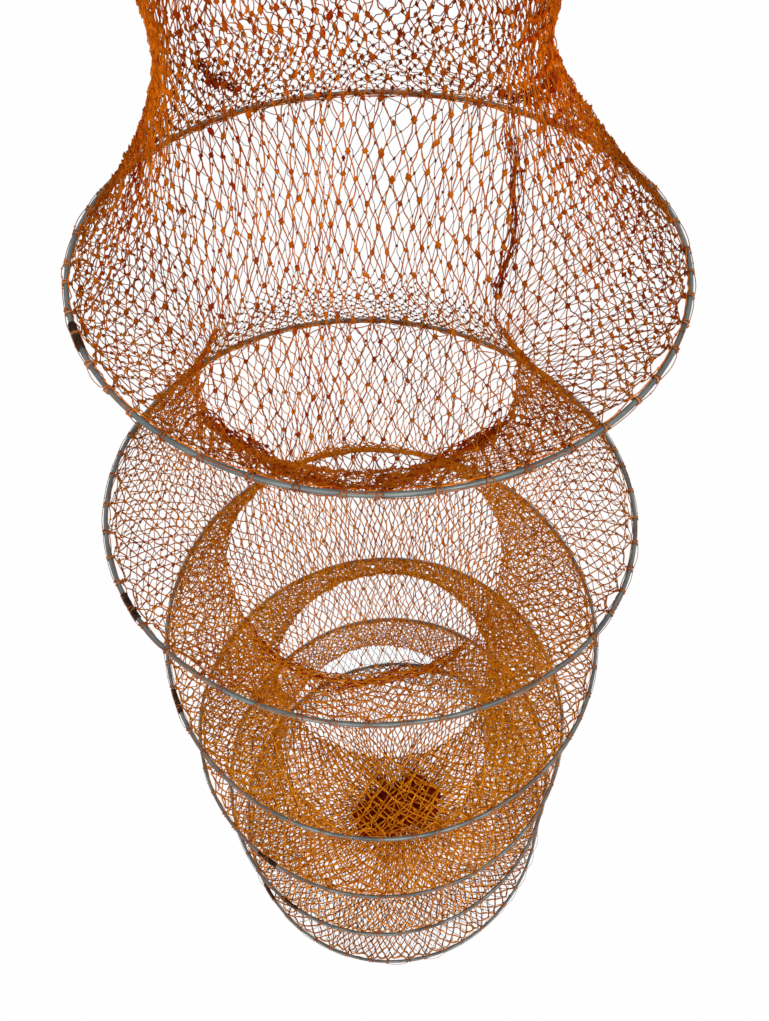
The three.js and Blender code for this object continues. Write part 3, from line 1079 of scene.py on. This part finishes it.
def crease_lines(crease, rng):
    """The strands of one crease or slack roll: a loose bundle that wanders along its path on the netting."""
    steps = 10 + abs(crease["to_angle"] - crease["angle"]) // CREASE_STEP
    t = np.linspace(0, 1, steps)
    angle = np.radians(crease["angle"] + (crease["to_angle"] - crease["angle"]) * t)
    bow = crease["bow"] * np.sin(math.pi * t)
    reach = crease["reach"] + (crease["to_reach"] - crease["reach"]) * t + bow
    path = section_place(crease["section"])(angle, reach)
    along = unit(np.gradient(path, axis=0))
    outward = unit(path * [1, 1, 0])
    sideways = unit(np.cross(along, outward))
    normal = np.cross(sideways, along)
    width = crease["width"] / 2
    most_off = max(steps // 5, 1)  # most steps that a strand stops short at each end
    lines, knots = [], []
    for strand in range(crease["strands"]):
        aside = loose_wave(t, steps, rng) * width
        out = loose_wave(t, steps, rng) * width * CREASE_THICKNESS
        first = rng.integers(0, most_off)
        last = steps - rng.integers(0, most_off)
        line = path + sideways * aside[:, None] + normal * out[:, None]
        line = line[first:last] + rng.normal(0, STRAND_ROUGHNESS, (last - first, 3))
        lines.append(line)
        knots.append(line[rng.random(len(line)) < CREASE_KNOTTED])
    return lines, knots_of(knots, rng, 0.6, 1.2)


class KEEPNET_OT_creases(bpy.types.Operator):
    """Lays the slack rolls, creases and a laced seam on the netting"""

    bl_idname = "keepnet.creases"
    bl_label = "Creases and seam"
    bl_options = {"REGISTER", "UNDO"}

    def execute(self, context):
        twine = context.scene.keepnet_netting.twine * CREASE_TWINE
        material = slack_shade_material()
        rng = np.random.default_rng(SEED + 700)
        for number, crease in enumerate(CREASES, 1):
            lines, knots = crease_lines(crease, rng)
            name = f"crease_{number}"
            piece = twine_piece(name, lines, knots, twine, crease["knot"], material, open_edges)
            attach(piece, "root")
        return {"FINISHED"}


# ---- The hoops ----


def hoop_frame(hoop, angle):
    """Points on a hoop's centre line with the directions along it, outward and up from it."""
    ring = HOOPS[hoop]
    points = ring(angle)
    along = unit(ring(angle + 0.01) - ring(angle - 0.01))
    outward = unit(points - HOOP_MIDDLES[hoop])
    return points, along, outward, unit(np.cross(outward, along)) * -1


def wire_piece(hoop, settings, material):
    """A smooth wire hoop."""
    points, _, outward, up = hoop_frame(hoop, even_angles(settings.steps))
    turn = even_angles(settings.sides)[None, :, None]
    ring = outward[:, None] * np.cos(turn) + up[:, None] * np.sin(turn)
    vertices = (points[:, None] + ring * settings.wire / 2).reshape(-1, 3)
    faces = skin_faces(settings.steps, settings.sides, closed=True)
    return smooth_piece("wire_" + HOOP_NAMES[hoop], vertices, faces, material)


class KEEPNET_OT_hoops(bpy.types.Operator):
    """Makes the smooth wire hoops"""

    bl_idname = "keepnet.hoops"
    bl_label = "Hoops"
    bl_options = {"REGISTER", "UNDO"}

    def execute(self, context):
        settings = context.scene.keepnet_hoops
        material = wire_material(settings.colour)
        for hoop, name in enumerate(HOOP_NAMES):
            piece = wire_piece(hoop, settings, material)
            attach(piece, "root")
            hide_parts("hoop_" + name)
        return {"FINISHED"}


def tie_lines(hoop, settings):
    """The ties of a hoop: each is two turns of twine round the wire, spread in a V from a knot inside it."""
    rng = np.random.default_rng(SEED + 200 + hoop)
    lines, knots = [], []
    for angle in hoop_ties(hoop, settings):
        middle, along, outward, up = (v[0] for v in hoop_frame(hoop, np.array([angle])))
        spread = rng.uniform(*TIE_SPREAD, 2)
        lean = rng.uniform(-TIE_LEAN, TIE_LEAN)
        points = []
        for turn, side in enumerate((1, -1)):
            away = settings.wire / 2 + settings.tie_twine * TIE_LIFT[turn]
            for k in range(TIE_STEPS):
                round_wire = math.pi + math.tau * k / TIE_STEPS
                shift = side * spread[turn] * math.sin(math.pi * k / TIE_STEPS) + lean * math.cos(round_wire)
                section = (outward * math.cos(round_wire) + up * math.sin(round_wire)) * away
                points.append(middle + section + along * shift)
        lines.append(np.array(points))
        inside = middle - outward * (settings.wire / 2 + settings.tie_twine)
        knots.append(inside + along * rng.normal(0, KNOT_SHIFT) + up * rng.normal(0, KNOT_SHIFT))
    return lines, knots_of(knots, rng, 0.8, 1.3)


def between_ties(hoop, settings, steps):
    """The angles of even steps from each tie of a hoop to the next, and how many ties it has."""
    ties = np.sort(hoop_ties(hoop, settings) % math.tau)
    gap = np.diff(np.append(ties, ties[0] + math.tau))
    return (ties[:, None] + gap[:, None] * np.arange(steps) / steps).ravel(), len(ties)


def selvedge_lines(hoop, settings):
    """The cords that the ties hold against the inside of the wire. The first runs all the way round, and the
    others only round the far half, so that they lie thicker there."""
    rng = np.random.default_rng(SEED + 300 + hoop)
    lines, knots = [], []
    for cord in range(CORDS_INSIDE):
        angle, _ = between_ties(hoop, settings, CORD_STEPS)
        start = rng.uniform(0.05, 0.3)
        angle = angle if cord == 0 else angle[(angle > start) & (angle < math.pi - start)]
        middle, _, outward, up = hoop_frame(hoop, angle)
        loose = rng.uniform(0.0, 1.0, len(angle)) ** 3
        round_wire = rng.normal(0, 0.3, len(angle)) + rng.uniform(-0.7, 0.7)
        away = settings.wire / 2 + settings.tie_twine * 0.35 + loose * CORD_SLACK
        inner = -outward * np.cos(round_wire)[:, None] + up * np.sin(round_wire)[:, None]
        line = middle + inner * away[:, None]
        lines.append(line if cord else np.vstack([line, line[:1]]))
        knots.append(line[rng.random(len(line)) < 0.22])
    return lines, knots_of(knots, rng, 0.5, 0.9)


def lacing_lines(hoop, settings):
    """The thin twine that runs outside the wire from tie to tie, here close and there in a loose loop."""
    rng = np.random.default_rng(SEED + 350 + hoop)
    angle, ties = between_ties(hoop, settings, LOOP_STEPS)
    middle, _, outward, up = hoop_frame(hoop, angle)
    size = np.repeat(rng.uniform(0.0, 1.0, ties) ** 2 * LASHING[hoop]["loops"], LOOP_STEPS)
    loop = size * np.tile(np.sin(math.pi * np.arange(LOOP_STEPS) / LOOP_STEPS), ties)
    side = np.repeat(rng.uniform(-1.2, 0.2, ties), LOOP_STEPS)
    away = settings.wire / 2 + settings.tie_twine * 0.4 + loop
    line = middle + (outward * np.cos(side)[:, None] + up * np.sin(side)[:, None]) * away[:, None]
    knots = line[rng.random(len(line)) < 0.15]
    return [line], (knots, np.full(len(knots), 0.6))


class KEEPNET_OT_lashing(bpy.types.Operator):
    """Ties the netting to each hoop, with the cords inside the wire and the lacing outside it"""

    bl_idname = "keepnet.lashing"
    bl_label = "Lashing"
    bl_options = {"REGISTER", "UNDO"}

    def execute(self, context):
        settings = context.scene.keepnet_hoops
        lashing = tie_material(settings)
        netting = netting_material(context.scene.keepnet_netting)
        # Each kind: its name, its lines, its thickness against the tie twine, its finish and its edges.
        kinds = (
            ("ties_", tie_lines, 1.0, lashing, closed_edges),
            ("selvedge_", selvedge_lines, 0.7, netting, open_edges),
            ("lacing_", lacing_lines, 0.5, lashing, closed_edges),
        )
        for hoop, name in enumerate(HOOP_NAMES):
            for kind, lines_of, thickness, material, edges_of in kinds:
                lines, knots = lines_of(hoop, settings)
                twine = settings.tie_twine * thickness
                piece = twine_piece(kind + name, lines, knots, twine, LASHING_KNOT, material, edges_of)
                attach(piece, "root")
        return {"FINISHED"}


def wrap_piece(hoop, settings, material):
    """A close coil of dark twine along the joint of a hoop, where its packed sleeve is."""
    sleeve = box_middle("sleeve_" + HOOP_NAMES[hoop]) - HOOP_MIDDLES[hoop]
    angle = math.atan2(sleeve[1], sleeve[0])
    turns = round(WRAP_LENGTH / (WRAP_TWINE * WRAP_PITCH))
    radius = float(np.linalg.norm(HOOPS[hoop](0.0) - HOOPS[hoop](math.pi))) / 2
    t = np.arange(turns * WRAP_STEPS + 1) / (turns * WRAP_STEPS)
    middle, _, outward, up = hoop_frame(hoop, angle + (t - 0.5) * WRAP_LENGTH / radius)
    turn = t * turns * math.tau
    rng = np.random.default_rng(SEED + 400 + hoop)
    bulge = 1 + 0.18 * np.sin(math.pi * t) + 0.12 * np.sin(3 * math.tau * t + rng.uniform(0, 6))
    away = settings.wire / 2 + WRAP_TWINE * 0.38 * bulge
    points = middle + (outward * np.cos(turn)[:, None] + up * np.sin(turn)[:, None]) * away[:, None]
    return cord_piece("wrap_" + HOOP_NAMES[hoop], points, WRAP_TWINE, 3, material)


class KEEPNET_OT_wraps(bpy.types.Operator):
    """Binds each hoop's joint"""

    bl_idname = "keepnet.wraps"
    bl_label = "Joint wraps"
    bl_options = {"REGISTER", "UNDO"}

    def execute(self, context):
        settings = context.scene.keepnet_hoops
        material = wrap_material(settings)
        for hoop, name in enumerate(HOOP_NAMES):
            piece = wrap_piece(hoop, settings, material)
            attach(piece, "root")
            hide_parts("sleeve_" + name)
        return {"FINISHED"}


# ---- The gathered bottom ----


def mound_stretch(angle):
    """How much longer than round the mound is at each angle."""
    return MOUND["stretch"] * np.cos(2 * (angle - MOUND["turn"]))


def mound_point(angle, reach, lift=0.0):
    """A point on the puckered mound: reach is 0 at its middle and 1 at its rim. Its folds run out from the
    middle with a slight swirl, and it is longer one way than the other."""
    angle, reach, lift = np.broadcast_arrays(angle, reach, lift)
    radius, height = BUNCH_OUTLINE(np.minimum(reach, 1) * BUNCH_RIM)
    radius = radius * np.maximum(reach, 1) * (1 + mound_stretch(angle))
    swirl = angle + MOUND["swirl"] * reach
    folds = sum(
        share * (np.abs(np.cos(count / 2 * swirl + turn)) - FOLD_LEVEL)
        for count, share, turn in MOUND["folds"]
    )
    height = height + MOUND["fold"] * folds * np.sin(math.pi * np.clip(reach * 0.8, 0, 1)) + lift
    return points_around(BUNCH_CENTRE, angle, radius * (1 + MOUND["widen"] * folds), height)


def bunch_core(material):
    """The crumpled mass inside the mound and the bunch, so that no light comes through it."""
    rng = np.random.default_rng(SEED + 500)
    angle = even_angles(CORE_SIDES)
    rings = [mound_point(angle, reach) for reach in np.linspace(0.03, 1, CORE_RINGS)]
    turns = rng.uniform(0, math.tau, len(CORE_FOLDS))
    folds = sum(np.cos(count * angle + turn) for count, turn in zip(CORE_FOLDS, turns)) * CORE_FOLD
    for way in np.linspace(BUNCH_RIM * 1.04, 0.97, CORE_RINGS):
        radius, height = BUNCH_OUTLINE(way)
        stretch = 1 + mound_stretch(angle) * min(radius / ROUND_BUNCH, 1)
        rings.append(points_around(BUNCH_CENTRE, angle, radius * (CORE_INSIDE + folds) * stretch, height))
    top = tuple(range(CORE_SIDES))
    end = tuple((len(rings) - 1) * CORE_SIDES + k for k in reversed(top))
    faces = [top, *skin_faces(len(rings), CORE_SIDES, closed=False), end]
    return smooth_piece("bunch_core", np.vstack(rings), faces, material)


def bunch_strands(settings, material):
    """Strands of netting twine from under the mound's rim, in through the tie and out as a tuft."""
    rng = np.random.default_rng(SEED + 600)
    steps = 18
    lines, knots = [], []
    for strand in range(BUNCH_STRANDS):
        angle = rng.uniform(0, math.tau) + np.cumsum(rng.normal(0, 0.08, steps))
        radius, height = BUNCH_OUTLINE(np.linspace(BUNCH_RIM + 0.02, 1 - rng.uniform(0, 0.12), steps))
        radius = radius * (1 + rng.normal(0, 0.03, steps)) + settings.twine * 0.3
        line = points_around(BUNCH_CENTRE, angle, radius, height)
        lines.append(line)
        knots.append(line[rng.random(steps) < 0.3])
    picked = knots_of(knots, rng, 0.6, 1.0)
    return twine_piece(
        "bunch_strands", lines, picked, settings.twine, settings.knot * 0.8, material, open_edges
    )


def bunch_netting(settings, material):
    """The crumpled meshes that lie over the mound and run out on to the bottom netting."""
    rng = np.random.default_rng(SEED + 640)
    count, rings = MOUND_MESHES
    lift, uneven = MOUND_LIFT
    rows = []
    for i, reach in enumerate(np.linspace(0.10, 1.35, rings)):
        angle = (np.arange(count) + (i % 2) / 2 + rng.uniform(-0.3, 0.3, count)) * math.tau / count
        spread = reach + rng.normal(0, 0.03, count)
        rows.append(mound_point(angle, spread, lift + np.abs(rng.normal(0, uneven, count))))
    lines = []
    for i in range(rings - 1):
        corners = to_and_fro(rows[i], rows[i + 1], i % 2)
        middle = (corners + np.roll(corners, -1, axis=0)) / 2
        middle += rng.normal(0, MOUND_CRUMPLE, corners.shape)
        lines.append(np.stack([corners, middle], axis=1).reshape(-1, 3))
    knots = knots_of(rows, rng, 0.7, 1.15)
    return twine_piece("bunch_netting", lines, knots, settings.twine * 1.3, settings.knot, material)


def bunch_folds(settings, material):
    """The folds that stand up on the mound and run out from it over the bottom netting."""
    rng = np.random.default_rng(SEED + 650)
    steps = 10
    lines, knots = [], []
    for strand in range(FOLD_STRANDS):
        angle = rng.uniform(0, math.tau) + np.cumsum(rng.normal(0, 0.05, steps))
        start = rng.uniform(0.10, 0.8)
        reach = np.linspace(start, start + rng.uniform(0.5, 1.1), steps)
        over = mound_point(angle, np.minimum(reach, 1.0), rng.uniform(*FOLD_LIFT))
        ground = bottom_place(angle, -np.clip((reach - 1) * 0.42 + 0.16, 0.16, 0.9))
        ground[:, 2] += FOLD_GROUND
        share = np.clip((reach - 0.95) / 0.25, 0, 1)[:, None]
        line = over * (1 - share) + ground * share + rng.normal(0, STRAND_ROUGHNESS, over.shape)
        lines.append(line)
        knots.append(line[rng.random(steps) < 0.4])
    picked = knots_of(knots, rng, 0.7, 1.1)
    return twine_piece(
        "bunch_folds", lines, picked, settings.twine * 1.4, settings.knot, material, open_edges
    )


def bunch_tie(settings):
    """The cord wound round the bunch below the netting."""
    low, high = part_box("bottom_tie")
    turns = round((high.z - low.z) / (TIE_CORD * TIE_PITCH))
    t = np.arange(turns * TIE_TURN_STEPS + 1) / (turns * TIE_TURN_STEPS)
    radius = (high.x - low.x) / 2 - TIE_CORD / 2
    height = high.z - TIE_CORD / 2 - t * (high.z - low.z - TIE_CORD)
    points = points_around(box_middle("bottom_tie"), t * turns * math.tau, radius, height)
    return cord_piece("bunch_tie", points, TIE_CORD, TIE_CORD_SIDES, tie_material(settings))


class KEEPNET_OT_bunch(bpy.types.Operator):
    """Gathers the bottom netting into a tied bunch with a tuft below it"""

    bl_idname = "keepnet.bunch"
    bl_label = "Gathered bottom"
    bl_options = {"REGISTER", "UNDO"}

    def execute(self, context):
        settings = context.scene.keepnet_netting
        bunched = bunch_shade_material()
        core = bunch_core(core_shade_material())
        strands = [maker(settings, bunched) for maker in (bunch_strands, bunch_netting, bunch_folds)]
        for piece in (core, *strands):
            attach(piece, "root")
        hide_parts("bottom_gather")
        tie = bunch_tie(context.scene.keepnet_hoops)
        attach(tie, "root")
        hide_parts("bottom_tie")
        return {"FINISHED"}


# ---- The stage ----


def seen_directly(tree):
    """1 where a camera, glossy or transmission ray looks, and 0 for light."""
    path = tree.nodes.new("ShaderNodeLightPath").outputs
    first = maths(tree, "MAXIMUM", path["Is Camera Ray"], path["Is Glossy Ray"])
    return maths(tree, "MAXIMUM", first, path["Is Transmission Ray"])


def floor_material():
    """A pale matt floor that the camera sees as white, and that keeps the object's shadow."""
    material = bpy.data.materials.new("Floor")
    material.use_nodes = True
    tree = material.node_tree
    tree.nodes.clear()
    matt = put(tree, "ShaderNodeBsdfDiffuse", {"Color": (0.8, 0.8, 0.8, 1)}).outputs[0]
    glow = put(tree, "ShaderNodeEmission", {"Color": (1, 1, 1, 1), "Strength": 1.0}).outputs[0]
    share = maths(tree, "MULTIPLY", seen_directly(tree), FLOOR_WHITE)
    both = put(tree, "ShaderNodeMixShader", {0: share, 1: matt, 2: glow}).outputs[0]
    put(tree, "ShaderNodeOutputMaterial", {"Surface": both})
    return material


def pale_world(scene):
    """A soft grey sky for the light, which looks white."""
    world = bpy.data.worlds.new("Pale")
    world.use_nodes = True
    tree = world.node_tree
    tree.nodes.clear()
    light = put(tree, "ShaderNodeBackground", {"Color": (1, 1, 1, 1), "Strength": SKY_STRENGTH}).outputs[0]
    white = put(tree, "ShaderNodeBackground", {"Color": (1, 1, 1, 1), "Strength": 1.0}).outputs[0]
    both = put(tree, "ShaderNodeMixShader", {0: seen_directly(tree), 1: light, 2: white}).outputs[0]
    put(tree, "ShaderNodeOutputWorld", {"Surface": both})
    scene.world = world


def area_lamp(scene, name, target, place, size, power):
    """A square lamp that points at the target."""
    light = bpy.data.lights.new(name, "AREA")
    light.size = size
    light.energy = power
    lamp = bpy.data.objects.new(name, light)
    lamp.location = place
    lamp.rotation_euler = (Vector(target) - Vector(place)).to_track_quat("-Z", "Y").to_euler()
    scene.collection.objects.link(lamp)


def stage_camera(scene, settings):
    """The camera in front of the net, looking down along it."""
    data = bpy.data.cameras.new("Camera")
    data.sensor_width = 36
    data.lens = settings.lens
    data.clip_start = 0.01
    camera = bpy.data.objects.new("Camera", data)
    camera.location = settings.camera_place
    camera.rotation_euler = (math.pi / 2 - settings.camera_pitch, 0, 0)
    scene.collection.objects.link(camera)
    scene.camera = camera


def floor_piece(settings, lowest):
    """A square floor below the lowest point of the net."""
    side, height = settings.floor_size / 2, lowest - settings.floor_drop
    mesh = bpy.data.meshes.new("floor")
    corners = [(-side, -side, height), (side, -side, height), (side, side, height), (-side, side, height)]
    mesh.from_pydata(corners, [], [(0, 1, 2, 3)])
    mesh.materials.append(floor_material())
    return linked("floor", mesh)


class KEEPNET_OT_stage(bpy.types.Operator):
    """Sets the floor, the light and the camera"""

    bl_idname = "keepnet.stage"
    bl_label = "Stage"
    bl_options = {"REGISTER", "UNDO"}

    def execute(self, context):
        scene = context.scene
        settings = scene.keepnet_stage
        scene.view_settings.view_transform = "Standard"
        stage_camera(scene, settings)
        low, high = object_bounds()
        floor_piece(settings, low.z)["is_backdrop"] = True
        pale_world(scene)
        area_lamp(scene, "Key", (low + high) / 2, **KEY_LAMP)
        area_lamp(scene, "Fill", FILL_TARGET, **FILL_LAMP)
        return {"FINISHED"}


class KEEPNET_PT_panel(bpy.types.Panel):
    """The steps that dress the keepnet, in order, and its sizes and colours"""

    bl_idname = "KEEPNET_PT_panel"
    bl_label = "Keepnet"
    bl_space_type = "VIEW_3D"
    bl_region_type = "UI"
    bl_category = "Keepnet"

    def draw(self, context):
        for step in STEPS:
            self.layout.operator(step.bl_idname)
        for group in GROUPS:
            settings = getattr(context.scene, group)
            for key in settings.__annotations__:
                self.layout.prop(settings, key)


GROUPS = {
    "keepnet_netting": KeepnetNetting,
    "keepnet_hoops": KeepnetHoops,
    "keepnet_stage": KeepnetStage,
}
STEPS = (
    KEEPNET_OT_hoops,
    KEEPNET_OT_wraps,
    KEEPNET_OT_netting,
    KEEPNET_OT_creases,
    KEEPNET_OT_lashing,
    KEEPNET_OT_bunch,
    KEEPNET_OT_stage,
)


def register():
    for key, group in GROUPS.items():
        bpy.utils.register_class(group)
        setattr(bpy.types.Scene, key, PointerProperty(type=group))
    for step in STEPS:
        bpy.utils.register_class(step)
    bpy.utils.register_class(KEEPNET_PT_panel)


def unregister():
    bpy.utils.unregister_class(KEEPNET_PT_panel)
    for step in reversed(STEPS):
        bpy.utils.unregister_class(step)
    for key, group in reversed(GROUPS.items()):
        delattr(bpy.types.Scene, key)
        bpy.utils.unregister_class(group)


def main():
    register()
    bpy.ops.keepnet.hoops()
    bpy.ops.keepnet.wraps()
    bpy.ops.keepnet.netting()
    bpy.ops.keepnet.creases()
    bpy.ops.keepnet.lashing()
    bpy.ops.keepnet.bunch()
    bpy.ops.keepnet.stage()


if __name__ == "__main__":
    main()
